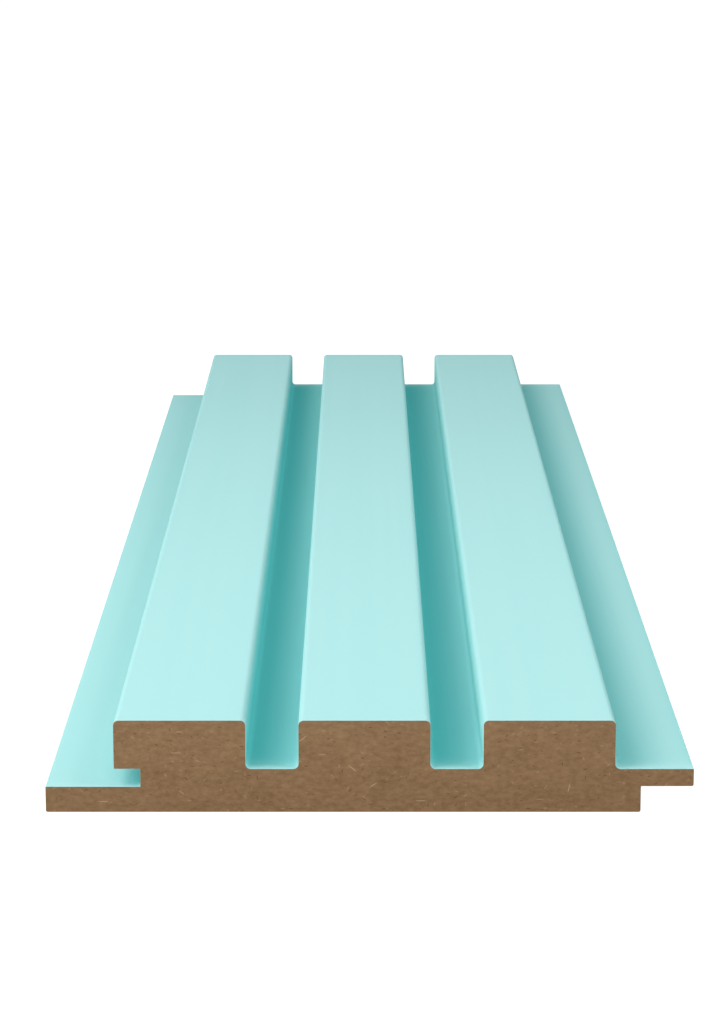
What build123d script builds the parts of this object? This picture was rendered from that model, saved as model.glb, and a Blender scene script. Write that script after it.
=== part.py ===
"""Slatted MDF wall panel: one board with its profile milled along its length.

The section lies in the XZ plane and runs along Y. The back lies on Z = 0, where the wall is,
and the slats point up. Seen along +Y, the ledge that takes the screws is on the left, with a
slot milled under the first slat, and the tongue is on the right, over a rebate in the back.
"""

import os

from build123d import *

# Driving dimensions in millimetres
panel_length = 425.0

# Slats and the grooves between them
slat_count = 3
slat_width = 25.0
groove_width = 10.0
groove_depth = 9.5
slat_edge_radius = 1.0
groove_corner_radius = 1.0

# Ledge edge: the ledge is screwed to the wall and the slot takes the next panel's tongue
ledge_length = 13.0
ledge_thickness = 5.0
slot_depth = 5.0
slot_height = 3.5

# Tongue edge: the rebate in the back lets the tongue lap over a ledge
rebate_depth = 10.0
joint_clearance = 0.1
eased_edge_radius = 0.35

# Heights above the wall: the groove floors, the slot's roof and the tongue's face are level
groove_floor = ledge_thickness + slot_height
board_thickness = groove_floor + groove_depth
rebate_height = ledge_thickness + joint_clearance

# Places across the panel, from the ledge's tip to the tongue's tip
slat_pitch = slat_width + groove_width
slats_span = slat_count * slat_pitch - groove_width
tongue_length = groove_width + slot_depth - joint_clearance
panel_width = ledge_length + slats_span + tongue_length
ledge_tip = -panel_width / 2
slats_start = ledge_tip + ledge_length
slats_end = slats_start + slats_span
tongue_tip = panel_width / 2

LEFT_LOW = (Align.MIN, Align.MIN)
RIGHT_LOW = (Align.MAX, Align.MIN)

with BuildPart() as wall_panel:
    with BuildSketch(Plane.XZ) as section:
        # The blank, as wide as the finished panel with its ledge and tongue
        Rectangle(panel_width, board_thickness, align=(Align.CENTER, Align.MIN))

        # Grooves between the slats
        with Locations(((slats_start + slats_end) / 2, groove_floor)):
            with GridLocations(slat_pitch, 0, slat_count - 1, 1):
                Rectangle(
                    groove_width,
                    groove_depth,
                    align=(Align.CENTER, Align.MIN),
                    mode=Mode.SUBTRACT,
                )

        # Ledge edge: the step down to the ledge, then the slot under the first slat
        with Locations((ledge_tip, ledge_thickness)):
            Rectangle(
                ledge_length, slot_height + groove_depth, align=LEFT_LOW, mode=Mode.SUBTRACT
            )
        with Locations((slats_start, ledge_thickness)):
            Rectangle(slot_depth, slot_height, align=LEFT_LOW, mode=Mode.SUBTRACT)

        # Tongue edge: the step down to the tongue's face, then the rebate in the back
        with Locations((slats_end, groove_floor)):
            Rectangle(tongue_length, groove_depth, align=LEFT_LOW, mode=Mode.SUBTRACT)
        with Locations((tongue_tip, 0)):
            Rectangle(rebate_depth, rebate_height, align=RIGHT_LOW, mode=Mode.SUBTRACT)

        # Rounded slat edges, which are the section's highest corners
        fillet(section.vertices().group_by(Axis.Y)[-1], slat_edge_radius)

        # Rounded feet of the slats, at the groove floors and along the tongue
        slat_feet = (
            section.vertices()
            .filter_by_position(Axis.Y, groove_floor - slot_height / 2, groove_floor + groove_depth / 2)
            .filter_by_position(Axis.X, slats_start + slat_width / 2, slats_end + tongue_length / 2)
        )
        fillet(slat_feet, groove_corner_radius)

        # Eased edges along the back and under the tongue's tip
        back_corners = section.vertices().group_by(Axis.Y)[0]
        tongue_corner = section.vertices().group_by(Axis.X)[-1].sort_by(Axis.Y)[0]
        fillet(back_corners + [tongue_corner], eased_edge_radius)
    extrude(amount=panel_length / 2, both=True)

wall_panel.part.label = "wall_panel"

os.makedirs("parts", exist_ok=True)
export_step(wall_panel.part, "parts/wall_panel.step")

size = wall_panel.part.bounding_box().size
print(f"wall_panel {size.X:.1f} x {size.Y:.1f} x {size.Z:.1f} mm")
print(f"section {section.sketch.area:.1f} mm2, volume {wall_panel.part.volume / 1000:.1f} cm3")
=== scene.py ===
# %% [markdown]
# # A slatted wall panel of painted MDF
#
# The real panel is one board of MDF. A moulder mills slats, grooves and two joint edges along it,
# the face is painted mint, and a saw cuts the ends square, so that the brown fibre shows there.
# The lesson makes it as one closed surface in numpy: a rounded section, carried along the board,
# with a sawn end on each side. Then it paints it, lights it and looks at it.

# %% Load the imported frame
import math

import bpy
import numpy as np
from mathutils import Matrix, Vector
from mathutils.geometry import delaunay_2d_cdt


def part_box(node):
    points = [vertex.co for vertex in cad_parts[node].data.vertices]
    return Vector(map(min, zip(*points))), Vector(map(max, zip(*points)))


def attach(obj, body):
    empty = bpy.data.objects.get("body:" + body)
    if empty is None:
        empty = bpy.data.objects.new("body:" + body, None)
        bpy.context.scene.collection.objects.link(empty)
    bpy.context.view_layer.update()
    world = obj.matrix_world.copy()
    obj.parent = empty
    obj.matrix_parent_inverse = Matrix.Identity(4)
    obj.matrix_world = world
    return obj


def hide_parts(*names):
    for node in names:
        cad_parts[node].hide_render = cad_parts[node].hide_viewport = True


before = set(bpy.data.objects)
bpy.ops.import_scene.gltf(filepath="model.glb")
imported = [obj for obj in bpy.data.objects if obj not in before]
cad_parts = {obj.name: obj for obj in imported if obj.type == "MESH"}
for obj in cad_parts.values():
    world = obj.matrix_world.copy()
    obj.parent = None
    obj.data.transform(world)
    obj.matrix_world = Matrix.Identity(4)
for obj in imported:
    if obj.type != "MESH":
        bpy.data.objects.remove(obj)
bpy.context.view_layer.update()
NODE = "wall_panel"
MM = 0.001
low, high = (np.array(corner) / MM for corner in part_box(NODE))
print("nodes", list(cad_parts), "from", low.round(2), "to", high.round(2), "mm")

# %% [markdown]
# ## The camera
#
# The edges of the panel meet at one vanishing point, so the camera looks straight along the board.
# Its height, distance, tilt and lens follow from where the corners of both cut ends appear.
# A long lens from about 0.6 m gives the same strong taper, and needs no lens shift.

# %% Place the camera
IMAGE_HEIGHT = 1024
FOCAL_PIXELS = 3236.0
SENSOR = 36.0
CAMERA_TILT = 12.121
CAMERA_SIDE, CAMERA_BACK, CAMERA_HEIGHT = -1.418, 588.706, 184.674
NEAREST_SEEN = 0.01

camera_data = bpy.data.cameras.new("camera")
camera_data.sensor_width = SENSOR
camera_data.lens = FOCAL_PIXELS / IMAGE_HEIGHT * SENSOR
camera_data.clip_start = NEAREST_SEEN
camera = bpy.data.objects.new("camera", camera_data)
camera.location = np.array((CAMERA_SIDE, low[1] - CAMERA_BACK, CAMERA_HEIGHT)) * MM
camera.rotation_euler = (math.radians(90 - CAMERA_TILT), 0, 0)
bpy.context.scene.collection.objects.link(camera)
bpy.context.scene.camera = camera
print("lens", round(camera_data.lens, 2), "mm, tilt", CAMERA_TILT, "degrees")

# %% [markdown]
# ## The section
#
# The section is what a saw cut shows: slats on top, a thin ledge with a slot over it on the left,
# and a tongue over a rebate on the right. All its corners are square turns, so a list of corners
# with a radius each says everything. The slats' edges and feet are well rounded by the cutter, but
# the lip over the slot is crisp. No real edge is quite sharp, so even the crisp ones keep a small
# radius that can catch light.

# %% List the corners
SLAT_COUNT = 3
SLAT_WIDTH, GROOVE_WIDTH = 25.0, 10.0
LEDGE_LENGTH, LEDGE_TOP = 13.0, 5.0
SLOT_DEPTH, FLOOR = 5.0, 8.5
REBATE_DEPTH, REBATE_TOP = 10.0, 5.1
ROUNDED, EASED, CRISP = 1.0, 0.35, 0.15

left, top = low[0], high[2]
right = high[0]
slat_left = left + LEDGE_LENGTH + (SLAT_WIDTH + GROOVE_WIDTH) * np.arange(SLAT_COUNT)[::-1]
slat_right = slat_left + SLAT_WIDTH
across = np.stack([slat_right, slat_right, slat_left, slat_left], axis=1)
level = np.tile([FLOOR, top, top, FLOOR], (SLAT_COUNT, 1))
slats = np.stack([across, level, np.full_like(across, ROUNDED)], axis=2).reshape(-1, 3)
slot_lip = -1
slats[slot_lip, 2] = CRISP
back_corners = [
    (left, 0.0, EASED),
    (right - REBATE_DEPTH, 0.0, EASED),
    (right - REBATE_DEPTH, REBATE_TOP, CRISP),
    (right, REBATE_TOP, EASED),
    (right, FLOOR, CRISP),
]
slot_wall = slat_left[-1] + SLOT_DEPTH
ledge_corners = [
    (slot_wall, FLOOR, CRISP),
    (slot_wall, LEDGE_TOP, CRISP),
    (left, LEDGE_TOP, CRISP),
]
corners = np.concatenate([back_corners, slats, ledge_corners])
print(len(corners), "corners, from the ledge's back edge round by the tongue and the slats")

# %% [markdown]
# ## From corners to an outline
#
# Each square corner becomes a quarter circle. The straight runs between them get points at an even
# spacing, and one point close to each end. Those close points hold the shading flat: without them
# a smooth normal would bend slowly across a whole slat, and the slat would look pillowed.

# %% Round the corners and fill the runs
ARC_STEPS = 8
RUN_SPACING = 1.2
HOLD = 0.12
SAME_POINT_DIGITS = 6


def rounded_outline(corners, steps):
    """Turns square corners into quarter circles.

    With a and b the unit directions to the corners before and after, the circle's centre is the
    corner plus r (a + b), and the arc is that centre minus r (b cos t + a sin t), t from 0 to 90.
    """
    place, radius = corners[:, :2], corners[:, 2, None]
    before, after = np.roll(place, 1, axis=0) - place, np.roll(place, -1, axis=0) - place
    a = before / np.linalg.norm(before, axis=1, keepdims=True)
    b = after / np.linalg.norm(after, axis=1, keepdims=True)
    turn = np.linspace(0, np.pi / 2, steps + 1)[None, :, None]
    centre = (place + radius * (a + b))[:, None]
    reach = radius[:, None]
    return centre - reach * (b[:, None] * np.cos(turn) + a[:, None] * np.sin(turn))


def distance_round(points):
    """Distance along a closed line to each of its points, and once more to the first."""
    steps = np.linalg.norm(np.roll(points, -1, axis=0) - points, axis=1)
    return np.concatenate([[0.0], np.cumsum(steps)])


arcs = rounded_outline(corners, ARC_STEPS)
sparse = arcs.reshape(-1, 2)
sparse_s = distance_round(sparse)
run_start = sparse_s[ARC_STEPS :: ARC_STEPS + 1]
run_end = sparse_s[ARC_STEPS + 1 :: ARC_STEPS + 1]
evenly = [
    np.linspace(a + HOLD, b - HOLD, max(2, round((b - a) / RUN_SPACING)))
    for a, b in zip(run_start, run_end)
]
ring_s = np.unique(np.concatenate([sparse_s[:-1], *evenly]).round(SAME_POINT_DIGITS))
closed = np.concatenate([sparse, sparse[:1]])
ring = np.stack([np.interp(ring_s, sparse_s, closed[:, i]) for i in range(2)], axis=1)
around = sparse_s[-1]
print(len(ring), "points,", round(around, 1), "mm round,", ring.min(0), ring.max(0))

# %% [markdown]
# ## Which way is out, and how much light gets there
#
# The normal of the outline at a point is the chord between its two neighbours, turned by a quarter.
# It is needed to ease the sawn ends. A second number is painted shade. It adds up the light that
# slants in from both sides, more from the left, and that no slat keeps off: all of it on a slat's
# top, and little on the floor of a groove. The paint turns from mint to a deeper teal where the
# number is low. The sum is then blurred along the outline, so that no hard line of painted shade is
# left in a groove's corners.

# %% Measure the outline
# How the light for the painted shade slants in, and how far the painted shade is blurred.
LIGHT_LOOKS = 87
LIGHT_FAN = math.radians(70)
LIGHT_SLANT = 1.71
LIGHT_FROM_RIGHT = 0.31
SHADE_BLUR = 1.7
LIFT = 0.02
TINY = 1e-9


def outward_normals(points):
    """Quarter turn of the chord from the point before to the point after, as a unit vector."""
    chord = np.roll(points, -1, axis=0) - np.roll(points, 1, axis=0)
    turned = np.stack([chord[:, 1], -chord[:, 0]], axis=1)
    return turned / np.linalg.norm(turned, axis=1, keepdims=True)


def light_for_painted_shade(points, normals):
    """Light that reaches each point, as a share of what reaches a level face in the open.

    A look at an angle t from upright counts with sin t to the power of the slant, less on the
    right, times its cosine to the normal. The run from q to q + e keeps off a look from p along d
    if the two cross: the distance along the look is cross(q - p, e) / cross(d, e), above zero.
    A look starts a hair above the surface, so that its own run doesn't keep it off.
    """
    angle = np.linspace(-LIGHT_FAN, LIGHT_FAN, LIGHT_LOOKS)
    look = np.stack([np.sin(angle), np.cos(angle)], axis=1)
    strength = np.abs(look[:, 0]) ** LIGHT_SLANT * np.where(angle < 0, 1, LIGHT_FROM_RIGHT)
    run = np.roll(points, -1, axis=0) - points
    lifted = points + LIFT * normals
    gap = (points[None] - lifted[:, None])[:, None]
    look_x, look_z = look[None, :, None, 0], look[None, :, None, 1]
    cross = look_x * run[:, 1] - look_z * run[:, 0]
    safe = np.where(np.abs(cross) < TINY, TINY, cross)
    along_look = (gap[..., 0] * run[:, 1] - gap[..., 1] * run[:, 0]) / safe
    along_run = (gap[..., 0] * look_z - gap[..., 1] * look_x) / safe
    kept_off = ((along_look > 0) & (along_run >= 0) & (along_run <= 1)).any(axis=2)
    facing = (normals @ look.T).clip(0)
    return (strength * facing * ~kept_off).sum(axis=1) / (strength * look[:, 1]).sum()


def evened_out(values, along, length):
    """Averages a value with its neighbours along a closed line, weighted by a bell curve.

    A neighbour at a distance s, the shorter way round, counts with exp(-(s / blur)^2 / 2) times
    the length of line that it stands for.
    """
    apart = np.abs(along[:, None] - along)
    apart = np.minimum(apart, length - apart)
    run = np.append(along[1:], length) - along
    weight = np.exp(-((apart / SHADE_BLUR) ** 2) / 2) * (run + np.roll(run, 1)) / 2
    return weight @ values / weight.sum(axis=1)


out = outward_normals(ring)
# Painted shade: the light share of each point, blurred along the outline.
light_share = evened_out(light_for_painted_shade(ring, out).clip(0, 1), ring_s, around)
print("spray from", light_share.min().round(2), "to", light_share.max().round(2))

# %% [markdown]
# ## Carrying the section along the board
#
# A ring of points for each station along Y makes the board's skin. The stations crowd towards the
# ends, where two things change quickly. The saw leaves a fine eased edge there, so the last rings
# are drawn in along a quarter circle. And close to an end a groove gets painted light, as if lit
# through its open end, so its painted shade fades there. The mint hides the teal of the painted
# shade by the square root of the light share, so the first of the light lifts it the most.

# %% Carry the outline from end to end
HALF_STATIONS = 26
END_REACH = 1.8
SHADE_FULL_AT, LIGHT_FULL_AT = 0.096, 0.773
SAW_EASE = 0.03
EASE_STEPS = 3

turn = np.linspace(0, np.pi / 2, EASE_STEPS + 1)
ease_in = SAW_EASE * (1 - np.sin(turn))
ease_along = SAW_EASE * (1 - np.cos(turn))
nearest, furthest = SAW_EASE + HOLD, (high[1] - low[1]) / 2
crowded = np.linspace(*np.arcsinh(np.array([nearest, furthest]) / END_REACH), HALF_STATIONS)
from_end = END_REACH * np.sinh(crowded)
middle = np.concatenate([low[1] + from_end, (high[1] - from_end)[-2::-1]])
stations = np.concatenate([low[1] + ease_along, middle, (high[1] - ease_along)[::-1]])
drawn_in = np.concatenate([ease_in, np.zeros(len(middle)), ease_in[::-1]])
end_gap = np.minimum(stations - low[1], high[1] - stations)
# Painted light near the ends: 0 at an end and near 1 far from it, as if lit through the open end.
end_light_blocked = 1 - np.exp(-end_gap / END_REACH)
skin_light_share = 1 - (1 - light_share) * end_light_blocked[:, None]
# Painted light share: 0 gives the teal painted shade, and 1 the mint in full light.
painted_light = np.sqrt(((skin_light_share - SHADE_FULL_AT) / (LIGHT_FULL_AT - SHADE_FULL_AT)).clip(0, 1))

skin = np.empty((len(stations), len(ring), 3))
skin[:, :, 0] = ring[:, 0] - drawn_in[:, None] * out[:, 0]
skin[:, :, 1] = stations[:, None]
skin[:, :, 2] = ring[:, 1] - drawn_in[:, None] * out[:, 1]

rows, columns = skin.shape[:2]
here = np.arange(rows - 1)[:, None] * columns + np.arange(columns)
beside = np.arange(rows - 1)[:, None] * columns + np.roll(np.arange(columns), -1)
skin_faces = np.stack([here, beside, beside + columns, here + columns], axis=2).reshape(-1, 4)
print(rows, "stations,", len(skin_faces), "faces on the skin")

# %% [markdown]
# ## The sawn ends
#
# A saw cut through MDF isn't a mirror: bundles of fibre lie a few hundredths of a millimetre higher
# or lower than their neighbours. A flat face could fake that with bump alone, but then a close look
# at the mesh shows a blank. So the end is filled with a fine web of points inside the outline: rows
# of them, every other row moved by half a step, a little scattered, and none close to the rim. A
# Delaunay triangulation joins them to the rim.

# %% Fill the section with points
CUT_SPACING = 0.45
ROW_SHARE, SCATTER, RIM_SHARE = 0.87, 0.12, 0.55
SEED = 11
FACES_INSIDE, MERGE_BELOW = 1, 1e-7


def inside_outline(points, outline):
    """Even and odd rule: from inside, a line to the right crosses an odd number of runs."""
    start, stop = outline, np.roll(outline, -1, axis=0)
    x, z = points[:, :1], points[:, 1:]
    spans = (start[:, 1] > z) != (stop[:, 1] > z)
    rise = np.where(stop[:, 1] == start[:, 1], TINY, stop[:, 1] - start[:, 1])
    reach = start[:, 0] + (z - start[:, 1]) / rise * (stop[:, 0] - start[:, 0])
    return (spans & (x < reach)).sum(axis=1) % 2 == 1


def distance_to_outline(points, outline):
    """Shortest distance to any run: the foot of the perpendicular, held to the run's two ends."""
    run = np.roll(outline, -1, axis=0) - outline
    gap = points[:, None] - outline
    share = (gap * run).sum(axis=2) / (run**2).sum(axis=1)
    foot = outline + share.clip(0, 1)[..., None] * run
    return np.linalg.norm(points[:, None] - foot, axis=2).min(axis=1)


random = np.random.default_rng(SEED)
rim = skin[0][:, [0, 2]]
grid_x, grid_z = np.meshgrid(
    np.arange(left, right, CUT_SPACING), np.arange(0, top, CUT_SPACING * ROW_SHARE)
)
grid_x[1::2] += CUT_SPACING / 2
web = np.stack([grid_x.ravel(), grid_z.ravel()], axis=1)
web += random.uniform(-SCATTER, SCATTER, web.shape) * CUT_SPACING
web = web[inside_outline(web, rim)]
web_depth = distance_to_outline(web, rim)
clear_of_rim = web_depth > CUT_SPACING * RIM_SHARE
web, web_depth = web[clear_of_rim], web_depth[clear_of_rim]
flat = np.concatenate([rim, web]).tolist()
rim_loop = [list(range(len(rim)))]
_, _, triangles, *_ = delaunay_2d_cdt(flat, [], rim_loop, FACES_INSIDE, MERGE_BELOW)
cut_faces = np.array(triangles)
print(len(web), "points and", len(cut_faces), "faces fill a sawn end")

# %% [markdown]
# ## Fibre that stands proud
#
# The web is flat until now. A sum of random waves, longer across the board than through it, presses
# its points in, as pressed fibre lies. The two ends draw their own waves, and both keep their rim
# flat, so that the edge of the cut stays straight.

# %% Press the waves into both ends
WAVES = 160
SHORTEST, LONGEST = 0.9, 7.0
HEADING_SPREAD = 0.45
RELIEF = 0.04
FADE = 0.8


def fibre_waves(points, random, count):
    """Sum of cosine waves of random length, heading and phase, scaled to run from 0 to 1.

    The lengths are spread evenly in their logarithm, and a longer wave is higher, by the square
    root of its length. The headings keep near upright, so the crests lie flat across the board.
    """
    length = np.exp(random.uniform(np.log(SHORTEST), np.log(LONGEST), count))
    heading = random.normal(np.pi / 2, HEADING_SPREAD, count)
    phase = random.uniform(0, 2 * np.pi, count)
    along = points[:, :1] * np.cos(heading) + points[:, 1:] * np.sin(heading)
    waves = (np.sqrt(length) * np.cos(2 * np.pi * along / length + phase)).sum(axis=1)
    return (waves - waves.min()) / np.ptp(waves)


def sawn_end(y, inward):
    """Points of one end's web, pressed in by the waves, and not at all along its rim."""
    depth = RELIEF * fibre_waves(web, random, WAVES) * (web_depth / FADE).clip(0, 1)
    return np.stack([web[:, 0], y + inward * depth, web[:, 1]], axis=1)


front_web = sawn_end(low[1], 1)
rear_web = sawn_end(high[1], -1)
skin_points = rows * columns
front_index = np.concatenate([np.arange(columns), skin_points + np.arange(len(web))])
rear_index = np.concatenate(
    [skin_points - columns + np.arange(columns), skin_points + len(web) + np.arange(len(web))]
)
front_faces = front_index[cut_faces]
rear_faces = rear_index[cut_faces[:, ::-1]]
points = np.concatenate([skin.reshape(-1, 3), front_web, rear_web])
print(len(points), "points in all, relief", RELIEF, "mm")

# %% [markdown]
# ## One closed mesh
#
# The rim of each end uses the skin's own last ring of points, so nothing has to be merged. Each
# face takes one of three finishes: paint on the face and its edges, sanded board on the back and
# in the rebate, and sawn fibre on the ends. Paint and bare board meet half way round the ledge's
# and the tongue's lower edges. The rims are marked sharp, so that the flat ends don't borrow their
# shading from the sides.

# %% Build the mesh
PAINT, BACK, SAWN = 0, 1, 2
LEDGE_BACK_CORNER, TONGUE_BACK_CORNER = 0, 3

arc_middle = sparse_s[ARC_STEPS // 2 :: ARC_STEPS + 1]
first_raw, last_raw = arc_middle[[LEDGE_BACK_CORNER, TONGUE_BACK_CORNER]]
middle_s = (ring_s + np.append(ring_s[1:], around)) / 2
column_finish = np.where((middle_s > first_raw) & (middle_s < last_raw), BACK, PAINT)
finish = np.concatenate(
    [np.tile(column_finish, rows - 1), np.full(2 * len(cut_faces), SAWN)]
).astype(np.int32)

mesh = bpy.data.meshes.new("slatted_board")
mesh.from_pydata(
    points * MM, [], skin_faces.tolist() + front_faces.tolist() + rear_faces.tolist()
)
mesh.polygons.foreach_set("material_index", finish)
mesh.polygons.foreach_set("use_smooth", np.ones(len(mesh.polygons), dtype=bool))
# Each point of the skin carries its painted light share to the paint.
painted_light_points = np.concatenate([painted_light.ravel(), np.zeros(2 * len(web))])
mesh.attributes.new("painted_light", "FLOAT", "POINT").data.foreach_set("value", painted_light_points)
mesh.validate()
edges = np.empty(2 * len(mesh.edges), dtype=np.int32)
mesh.edges.foreach_get("vertices", edges)
edges = edges.reshape(-1, 2)
front_rim = (edges < columns).all(axis=1)
rear_rim = ((edges >= skin_points - columns) & (edges < skin_points)).all(axis=1)
sharp = mesh.attributes.new("sharp_edge", "BOOLEAN", "EDGE")
sharp.data.foreach_set("value", front_rim | rear_rim)
board = bpy.data.objects.new("slatted_board", mesh)
bpy.context.scene.collection.objects.link(board)
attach(board, "root")
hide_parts(NODE)
print(len(mesh.polygons), "faces,", np.bincount(finish), "painted, back and sawn")

# %% [markdown]
# ## A flat map for baking
#
# Other programs can't read Blender's node graphs, so a finish has to be baked into a picture, and
# the map says which part of the picture each face gets. The skin is unrolled: Y runs along the
# picture and the distance round the outline runs up it. The two ends lie above it at a larger
# scale, because their fine grain needs more pixels to a millimetre than the plain paint does.

# %% Lay out the map
MARGIN = 0.006
SKIN_BAND, FRONT_BAND, REAR_BAND = (MARGIN, 0.675), (0.700, 0.838), (0.856, 1 - MARGIN)


def between(value, first, last, band):
    """Moves a value from the range first to last into a band of the picture."""
    return band[0] + (value - first) / (last - first) * (band[1] - band[0])


width_band = (MARGIN, 1 - MARGIN)
row_u = between(stations, low[1], high[1], width_band)
round_v = between(np.append(ring_s, around), 0.0, around, SKIN_BAND)
corner_u = np.stack([row_u[:-1], row_u[:-1], row_u[1:], row_u[1:]], axis=1)
corner_v = np.stack([round_v[:-1], round_v[1:], round_v[1:], round_v[:-1]], axis=1)
skin_uv = np.empty((rows - 1, columns, 4, 2))
skin_uv[..., 0] = corner_u[:, None]
skin_uv[..., 1] = corner_v[None]


def end_uv(faces, band):
    """Flat picture of one end: X along the picture and Z up its band."""
    corner = points[faces]
    u = between(corner[..., 0], left, right, width_band)
    return np.stack([u, between(corner[..., 2], 0.0, top, band)], axis=-1)


flat_uv = [skin_uv, end_uv(front_faces, FRONT_BAND), end_uv(rear_faces, REAR_BAND)]
bake_map = mesh.uv_layers.new(name="OFBake")
bake_map.data.foreach_set("uv", np.concatenate([part.ravel() for part in flat_uv]))
skin_scale = (SKIN_BAND[1] - SKIN_BAND[0]) / around
end_scale = (FRONT_BAND[1] - FRONT_BAND[0]) / top
print("map: the ends get", round(end_scale / skin_scale, 1), "times the skin's scale")

# %% [markdown]
# ## Small helpers for shader nodes
#
# A material is a graph of nodes, and placing one by hand takes many lines. Four helpers keep the
# graphs short to read: one adds any node and feeds its inputs, one does a step of arithmetic, one
# mixes two colours, and one moves a number from one range to another.

# %% Node helpers
MIX_SHARE, MIX_FIRST, MIX_SECOND = 0, 6, 7
MIX_COLOUR = 2


def add(tree, kind, inputs=(), **settings):
    """Adds a node, sets its settings, and gives each input a value or another node's output."""
    new = tree.nodes.new("ShaderNode" + kind)
    for name, value in settings.items():
        setattr(new, name, value)
    for socket, value in inputs.items() if isinstance(inputs, dict) else enumerate(inputs):
        if isinstance(value, bpy.types.NodeSocket):
            tree.links.new(value, new.inputs[socket])
        else:
            new.inputs[socket].default_value = value
    return new


def maths(tree, operation, *inputs):
    """One step of arithmetic on one, two or three numbers."""
    return add(tree, "Math", inputs, operation=operation).outputs[0]


def blend(tree, share, first, second):
    """Mixes two colours: share 0 gives the first one, and 1 the second one."""
    first, second = ((*c, 1) if isinstance(c, tuple) else c for c in (first, second))
    sockets = {MIX_SHARE: share, MIX_FIRST: first, MIX_SECOND: second}
    return add(tree, "Mix", sockets, data_type="RGBA").outputs[MIX_COLOUR]


def spread(tree, value, start, stop, to_start=0.0, to_stop=1.0, smooth=True):
    """Moves a number from one range to another, eased or straight, and held at both ends."""
    way = "SMOOTHSTEP" if smooth else "LINEAR"
    inputs = [value, start, stop, to_start, to_stop]
    return add(tree, "MapRange", inputs, interpolation_type=way).outputs[0]


print("node helpers", [helper.__name__ for helper in (add, maths, blend, spread)])

# %% [markdown]
# ## Groups of nodes
#
# The sawn ends and the back are the same board, so they share their patterns. A group is a part of
# a graph that is built once, with named sockets, and then placed in several materials, each with
# its own values. A vector socket has no value of its own here, because it always gets a place.

# %% Group helpers


def open_group(name, inputs, outputs):
    """A new node group with its sockets, as the tree, its inputs by name and its output node."""
    group = bpy.data.node_groups.new(name, "ShaderNodeTree")
    for label, value in inputs.items():
        kind = "Vector" if value is None else "Float"
        socket = group.interface.new_socket(label, in_out="INPUT", socket_type="NodeSocket" + kind)
        if value is not None:
            socket.default_value = value
    for label in outputs:
        group.interface.new_socket(label, in_out="OUTPUT", socket_type="NodeSocketFloat")
    return group, group.nodes.new("NodeGroupInput").outputs, group.nodes.new("NodeGroupOutput")


def use_group(tree, group, **inputs):
    """Places a group in a tree, with its inputs by name, and returns its outputs."""
    return add(tree, "Group", inputs, node_tree=group).outputs


print("group helpers", [helper.__name__ for helper in (open_group, use_group)])

# %% [markdown]
# ## Fibre slivers, one to a cell
#
# MDF is wood ground to fibre and pressed. A cut shows pale slivers and dark flecks at every angle.
# A Voronoi texture splits the plane into cells, and gives each cell's centre and a random colour.
# So each cell can draw one ellipse around its centre: the colour's red says whether it is there,
# green how it lies and blue how long it is. A higher lean keeps more of them flat. The same group
# draws long slivers, short ones and flecks.

# %% Sliver group
SHORTEST_SHARE = 0.4
ELLIPSE_GONE, ELLIPSE_FULL = 1.1, 0.45

slivers, given, result = open_group(
    "fibre_slivers",
    {"Place": None, "Spacing": 3.0, "Length": 1.0, "Width": 0.1, "Share": 0.4, "Lean": 2.0},
    ["Mask", "Shade"],
)
cell = add(
    slivers,
    "TexVoronoi",
    {"Vector": given["Place"], "Scale": maths(slivers, "DIVIDE", 1.0, given["Spacing"])},
    voronoi_dimensions="2D",
)
red, green, blue = add(slivers, "SeparateColor", [cell.outputs["Color"]]).outputs
side = maths(slivers, "MULTIPLY_ADD", green, 2.0, -1.0)
tilt = maths(
    slivers,
    "MULTIPLY",
    maths(slivers, "POWER", maths(slivers, "ABSOLUTE", side), given["Lean"]),
    maths(slivers, "MULTIPLY", maths(slivers, "SIGN", side), math.pi / 2),
)
offset = add(
    slivers, "VectorMath", [given["Place"], cell.outputs["Position"]], operation="SUBTRACT"
).outputs[0]
turned = add(
    slivers, "VectorRotate", {"Vector": offset, "Angle": tilt}, rotation_type="Z_AXIS"
).outputs[0]
along, beside_it, _ = add(slivers, "SeparateXYZ", [turned]).outputs
reach = maths(slivers, "MULTIPLY", given["Length"], maths(slivers, "ADD", blue, SHORTEST_SHARE))
ellipse = maths(
    slivers,
    "SQRT",
    maths(
        slivers,
        "ADD",
        maths(slivers, "POWER", maths(slivers, "DIVIDE", along, reach), 2.0),
        maths(slivers, "POWER", maths(slivers, "DIVIDE", beside_it, given["Width"]), 2.0),
    ),
)
there = maths(slivers, "LESS_THAN", red, given["Share"])
mask = maths(slivers, "MULTIPLY", spread(slivers, ellipse, ELLIPSE_GONE, ELLIPSE_FULL), there)
slivers.links.new(mask, result.inputs["Mask"])
slivers.links.new(blue, result.inputs["Shade"])
print("group", slivers.name, "with", len(slivers.nodes), "nodes")

# %% [markdown]
# ## Mottling
#
# Under the slivers the board is blotchy: fine grains of fibre, and fainter patches a few
# millimetres long that lie flat, because the mat of fibre was pressed flat. Two noise textures,
# stretched sideways, give numbers around one half that each material turns into its own colours.

# %% Mottling group
STRETCH = {"Patch": (0.5, 1.0, 1.0), "Grain": (0.6, 1.0, 1.0)}
DETAIL = {"Patch": 2.0, "Grain": 5.0}
OCTAVE_SHARE = 0.6

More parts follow.
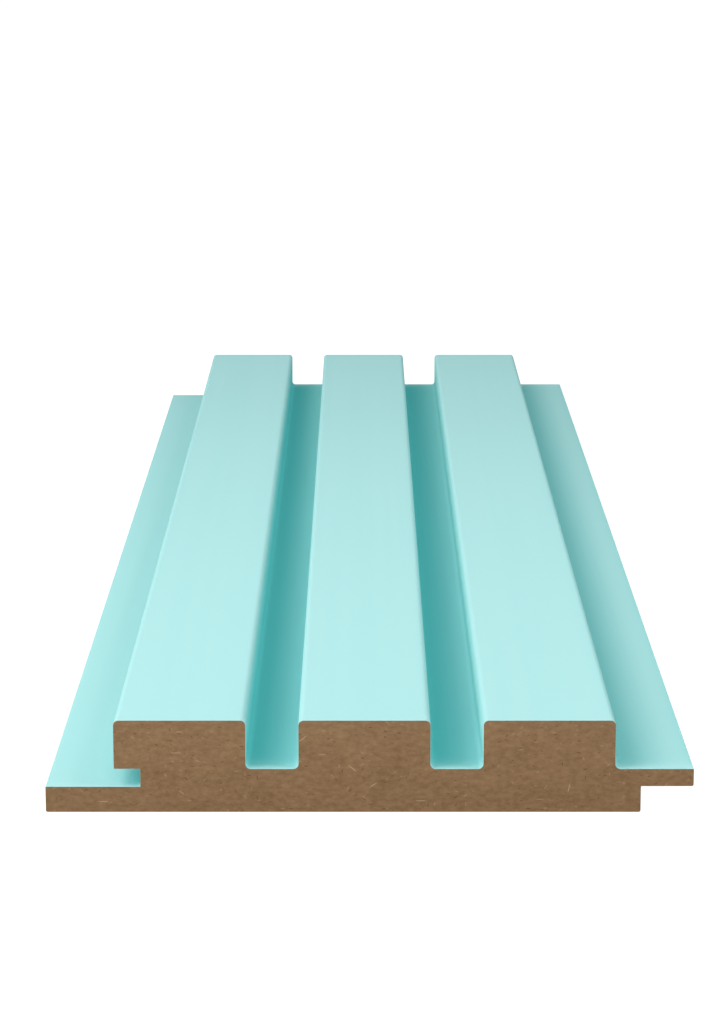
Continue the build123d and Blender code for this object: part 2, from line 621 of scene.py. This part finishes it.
mottling, given, result = open_group(
    "board_mottling", {"Place": None, "Patch": 0.22, "Grain": 1.1}, ["Patch", "Grain"]
)
for label in ("Patch", "Grain"):
    flattened = add(
        mottling, "VectorMath", [given["Place"], STRETCH[label]], operation="MULTIPLY"
    ).outputs[0]
    noise = add(
        mottling,
        "TexNoise",
        {
            "Vector": flattened,
            "Scale": given[label],
            "Detail": DETAIL[label],
            "Roughness": OCTAVE_SHARE,
        },
        noise_dimensions="2D",
    )
    mottling.links.new(noise.outputs["Fac"], result.inputs[label])
print("group", mottling.name, "with", len(mottling.nodes), "nodes")

# %% [markdown]
# ## Raw MDF
#
# The sawn ends and the sanded back are the same fibre, seen edge on and flat. One function builds
# both materials, from the plane that the pattern lies in and a set of colours. The ends use X and
# Z. The back uses X plus Z and Y, so that the rebate's upright wall isn't drawn out into stripes.
# The board is pressed a little denser and darker towards its back, so height is mixed in as well.

# %% Material helpers


def new_material(name):
    """A new material, as the material, its tree and the inputs of its Principled shader."""
    material = bpy.data.materials.new(name)
    material.use_nodes = True
    return material, material.node_tree, material.node_tree.nodes["Principled BSDF"].inputs


def millimetres(tree):
    """Object coordinates in millimetres, as a vector and as its three parts."""
    place = add(tree, "TexCoord").outputs["Object"]
    scaled = add(tree, "VectorMath", [place, (1 / MM,) * 3], operation="MULTIPLY").outputs[0]
    return scaled, add(tree, "SeparateXYZ", [scaled]).outputs


print("material helpers", [helper.__name__ for helper in (new_material, millimetres)])

# %% Choose the fibre's sizes and colours
LONG_SLIVERS = {"Spacing": 4.6, "Length": 0.9, "Width": 0.15, "Share": 0.30, "Lean": 2.6}
SHORT_SLIVERS = {"Spacing": 1.5, "Length": 0.36, "Width": 0.17, "Share": 0.30, "Lean": 1.6}
DARK_FLECKS = {"Spacing": 1.35, "Length": 0.36, "Width": 0.13, "Share": 0.32, "Lean": 2.4}
# How strongly each kind of mark shows.
LONG_LEAST, LONG_MORE, SHORT_MOST, FLECK_MOST = 0.10, 0.45, 0.32, 0.75
# What makes up the shade, a height being in millimetres, and the range between the two browns.
PATCH_WEIGHT, GRAIN_WEIGHT, HEIGHT_WEIGHT = 0.45, 1.15, 0.014
DARKEST, PALEST = 0.485, 1.385
# How far the marks stand up or sink in, next to the grain, and how deep the bump is.
SLIVER_STANDS, FLECK_SINKS = 0.4, 0.6
FIBRE_RELIEF = 0.12 * MM
SAWN_BUMP, BACK_BUMP = 0.4, 0.25
# Low grain is rougher than high grain.
GRAIN_LOW, GRAIN_HIGH = 0.3, 0.7
ROUGHEST, SMOOTHEST = 0.95, 0.82
BOARD_SPECULAR = 0.2
SAWN_COLOURS = {
    "dark": (0.261, 0.152, 0.071),
    "pale": (0.446, 0.272, 0.142),
    "sliver": (0.70, 0.49, 0.295),
    "fleck": (0.158, 0.089, 0.043),
}
BACK_COLOURS = {
    "dark": (0.28, 0.18, 0.10),
    "pale": (0.46, 0.32, 0.195),
    "sliver": (0.55, 0.40, 0.25),
    "fleck": (0.19, 0.115, 0.06),
}
X, Y, Z = 0, 1, 2
cell_sizes = [marks["Spacing"] for marks in (LONG_SLIVERS, SHORT_SLIVERS, DARK_FLECKS)]
print("cells of", cell_sizes, "mm for long slivers, short slivers and flecks")

# %% Raw board materials


def raw_board(name, plane, colours, bump):
    """Grainy brown, darker towards the back, then pale slivers of two sizes and dark flecks.

    The shade is the patches, the grain and the height, each times its weight. Each mark is laid
    over it by its mask times a strength that its own random shade sets.
    """
    material, tree, shader = new_material(name)
    _, parts = millimetres(tree)
    place = add(tree, "CombineXYZ", plane(tree, parts)).outputs[0]
    patch, grain = use_group(tree, mottling, Place=place)
    grainy = maths(tree, "MULTIPLY", grain, GRAIN_WEIGHT)
    mixed = maths(tree, "MULTIPLY_ADD", patch, PATCH_WEIGHT, grainy)
    mixed = maths(tree, "MULTIPLY_ADD", parts[Z], HEIGHT_WEIGHT, mixed)
    paleness = spread(tree, mixed, DARKEST, PALEST, smooth=False)
    colour = blend(tree, paleness, colours["dark"], colours["pale"])

    short_ones, shade = use_group(tree, slivers, Place=place, **SHORT_SLIVERS)
    faint = maths(tree, "MULTIPLY", short_ones, maths(tree, "MULTIPLY", shade, SHORT_MOST))
    colour = blend(tree, faint, colour, colours["sliver"])
    long_ones, shade = use_group(tree, slivers, Place=place, **LONG_SLIVERS)
    strength = maths(tree, "MULTIPLY_ADD", shade, LONG_MORE, LONG_LEAST)
    colour = blend(tree, maths(tree, "MULTIPLY", long_ones, strength), colour, colours["sliver"])
    flecks, shade = use_group(tree, slivers, Place=place, **DARK_FLECKS)
    pitted = maths(tree, "MULTIPLY", flecks, maths(tree, "MULTIPLY", shade, FLECK_MOST))
    colour = blend(tree, pitted, colour, colours["fleck"])
    tree.links.new(colour, shader["Base Color"])

    height = maths(tree, "ADD", grain, maths(tree, "MULTIPLY", long_ones, SLIVER_STANDS))
    height = maths(tree, "SUBTRACT", height, maths(tree, "MULTIPLY", pitted, FLECK_SINKS))
    relief = add(tree, "Bump", {"Strength": bump, "Distance": FIBRE_RELIEF, "Height": height})
    tree.links.new(relief.outputs[0], shader["Normal"])
    rough = spread(tree, grain, GRAIN_LOW, GRAIN_HIGH, ROUGHEST, SMOOTHEST)
    tree.links.new(rough, shader["Roughness"])
    shader["Specular IOR Level"].default_value = BOARD_SPECULAR
    return material


def end_plane(tree, parts):
    """The plane of a sawn end: across the board and up through it."""
    return [parts[X], parts[Z], 0.0]


def back_plane(tree, parts):
    """The plane of the back, folded up the rebate's wall: across plus up, and along the board."""
    return [maths(tree, "ADD", parts[X], parts[Z]), parts[Y], 0.0]


sawn_fibre = raw_board("sawn_fibre", end_plane, SAWN_COLOURS, SAWN_BUMP)
sanded_back = raw_board("sanded_back", back_plane, BACK_COLOURS, BACK_BUMP)
print("raw board:", sawn_fibre.name, "and", sanded_back.name)

# %% [markdown]
# ## Mint paint
#
# The face is mint, and the painted light share mixes in a deeper teal as painted shade: mint on
# the slats, teal deep in the grooves. Faint streaks along the board shift the mint a little towards
# the teal, fine lines remain from the cutters, and a peel lies over them. Streaks and lines are the
# same kind of noise, drawn out along Y. The paint is so dull that no lamp shows in it, not even at
# a low angle, so its specular level is zero. The roughness is kept for a program that draws a gloss
# of its own on the baked paint.

# %% Paint material
MINT = (0.502, 0.884, 0.879)
# The teal is painted shade, mixed in where little light reaches.
SHADE_TEAL = (0.083, 0.616, 0.615)
DRAWN_OUT = (2.2, 0.02, 2.2)
STREAKS = {"Scale": 0.12, "Detail": 3.0}
LINES = {"Scale": 1.0, "Detail": 2.0}
PEEL = {"Scale": 1.4, "Detail": 2.0}
STREAK_LOW, STREAK_HIGH, STREAK_DEPTH = 0.35, 0.65, 0.022
LINE_WEIGHT = 0.4
FILM_BUMP, FILM_RELIEF = 0.10, 0.04 * MM
PEEL_LOW, PEEL_HIGH = 0.3, 0.7
FILM_SMOOTHEST, FILM_ROUGHEST = 0.54, 0.62
FILM_SPECULAR = 0.0

mint_paint_and_shade, tree, shader = new_material("mint_paint_and_shade")
place, _ = millimetres(tree)
drawn = add(tree, "VectorMath", [place, DRAWN_OUT], operation="MULTIPLY").outputs[0]
streaks = add(tree, "TexNoise", {"Vector": drawn, **STREAKS}).outputs["Fac"]
lines = add(tree, "TexNoise", {"Vector": drawn, **LINES}).outputs["Fac"]
peel = add(tree, "TexNoise", {"Vector": place, **PEEL}).outputs["Fac"]

# The attribute is the painted light share, from teal painted shade to mint in full light.
painted_light_here = add(tree, "Attribute", attribute_name="painted_light").outputs["Fac"]
thinner = spread(tree, streaks, STREAK_LOW, STREAK_HIGH, 0.0, STREAK_DEPTH)
film_and_shade = blend(tree, maths(tree, "SUBTRACT", painted_light_here, thinner), SHADE_TEAL, MINT)
tree.links.new(film_and_shade, shader["Base Color"])
height = maths(tree, "MULTIPLY_ADD", lines, LINE_WEIGHT, peel)
relief = add(tree, "Bump", {"Strength": FILM_BUMP, "Distance": FILM_RELIEF, "Height": height})
tree.links.new(relief.outputs[0], shader["Normal"])
rough = spread(tree, peel, PEEL_LOW, PEEL_HIGH, FILM_SMOOTHEST, FILM_ROUGHEST)
tree.links.new(rough, shader["Roughness"])
shader["Specular IOR Level"].default_value = FILM_SPECULAR
for finish_material in (mint_paint_and_shade, sanded_back, sawn_fibre):
    mesh.materials.append(finish_material)
print("finishes", [m.name for m in mesh.materials])

# %% [markdown]
# ## Floor and light
#
# The panel lies on a white floor, under a large soft box on the left and a smaller one on the
# right. They are high enough to light the slats' tops evenly, and low enough that the slats keep
# most of it out of the grooves. A low lamp in front lights the sawn end, and a dim sky fills in the
# rest. Only the camera sees the floor and the sky as plain white. For all other light they glow
# just a little, so the backdrop is bright, and yet the grooves stay deep.

# %% Lay the floor
FLOOR_HALF = 6.0
FLOOR_DROP = 0.0001
FLOOR_GLOW, FLOOR_SEEN = 0.23, 1.0
FLOOR_GREY, FLOOR_ROUGHNESS = 0.22, 0.9
WHITE = (1, 1, 1, 1)

corner_signs = np.array([(-1, -1), (1, -1), (1, 1), (-1, 1)])
floor_points = np.column_stack([corner_signs * FLOOR_HALF, np.full(4, -FLOOR_DROP)])
floor_mesh = bpy.data.meshes.new("floor")
floor_mesh.from_pydata(floor_points, [], [(0, 1, 2, 3)])
white, tree, shader = new_material("white_floor")
shader["Base Color"].default_value = (FLOOR_GREY, FLOOR_GREY, FLOOR_GREY, 1)
shader["Roughness"].default_value = FLOOR_ROUGHNESS
shader["Emission Color"].default_value = WHITE
seen = add(tree, "LightPath").outputs["Is Camera Ray"]
glow = spread(tree, seen, 0, 1, FLOOR_GLOW, FLOOR_SEEN, smooth=False)
tree.links.new(glow, shader["Emission Strength"])
floor_mesh.materials.append(white)
floor = bpy.data.objects.new("floor", floor_mesh)
bpy.context.scene.collection.objects.link(floor)
print("floor", 2 * FLOOR_HALF, "m square")

# %% Hang the lamps
AIM = Vector((0.0, -0.05, 0.0))
SKY_GLOW, SKY_SEEN = 0.279, 1.0


def soft_box(name, place, size, power):
    """A square lamp of a size in metres and a power in watts, turned to face the panel."""
    data = bpy.data.lights.new(name, "AREA")
    data.size, data.energy = size, power
    lamp = bpy.data.objects.new(name, data)
    lamp.location = place
    lamp.rotation_euler = (AIM - lamp.location).to_track_quat("-Z", "Y").to_euler()
    bpy.context.scene.collection.objects.link(lamp)
    return lamp


lamps = [
    soft_box("left_box", (-0.50, -0.25, 0.50), 0.8, 4.31),
    soft_box("front_box", (-0.30, -1.00, 0.12), 0.3, 1.50),
    soft_box("right_box", (0.45, -0.25, 0.55), 0.4, 1.71),
]
world = bpy.data.worlds.new("studio")
bpy.context.scene.world = world
world.use_nodes = True
sky = world.node_tree.nodes["Background"].inputs
sky["Color"].default_value = WHITE
seen = add(world.node_tree, "LightPath").outputs["Is Camera Ray"]
glow = spread(world.node_tree, seen, 0, 1, SKY_GLOW, SKY_SEEN, smooth=False)
world.node_tree.links.new(glow, sky["Strength"])
bpy.context.scene.view_settings.view_transform = "Standard"
print("lamps", [lamp.name for lamp in lamps], "and a sky of", SKY_GLOW)
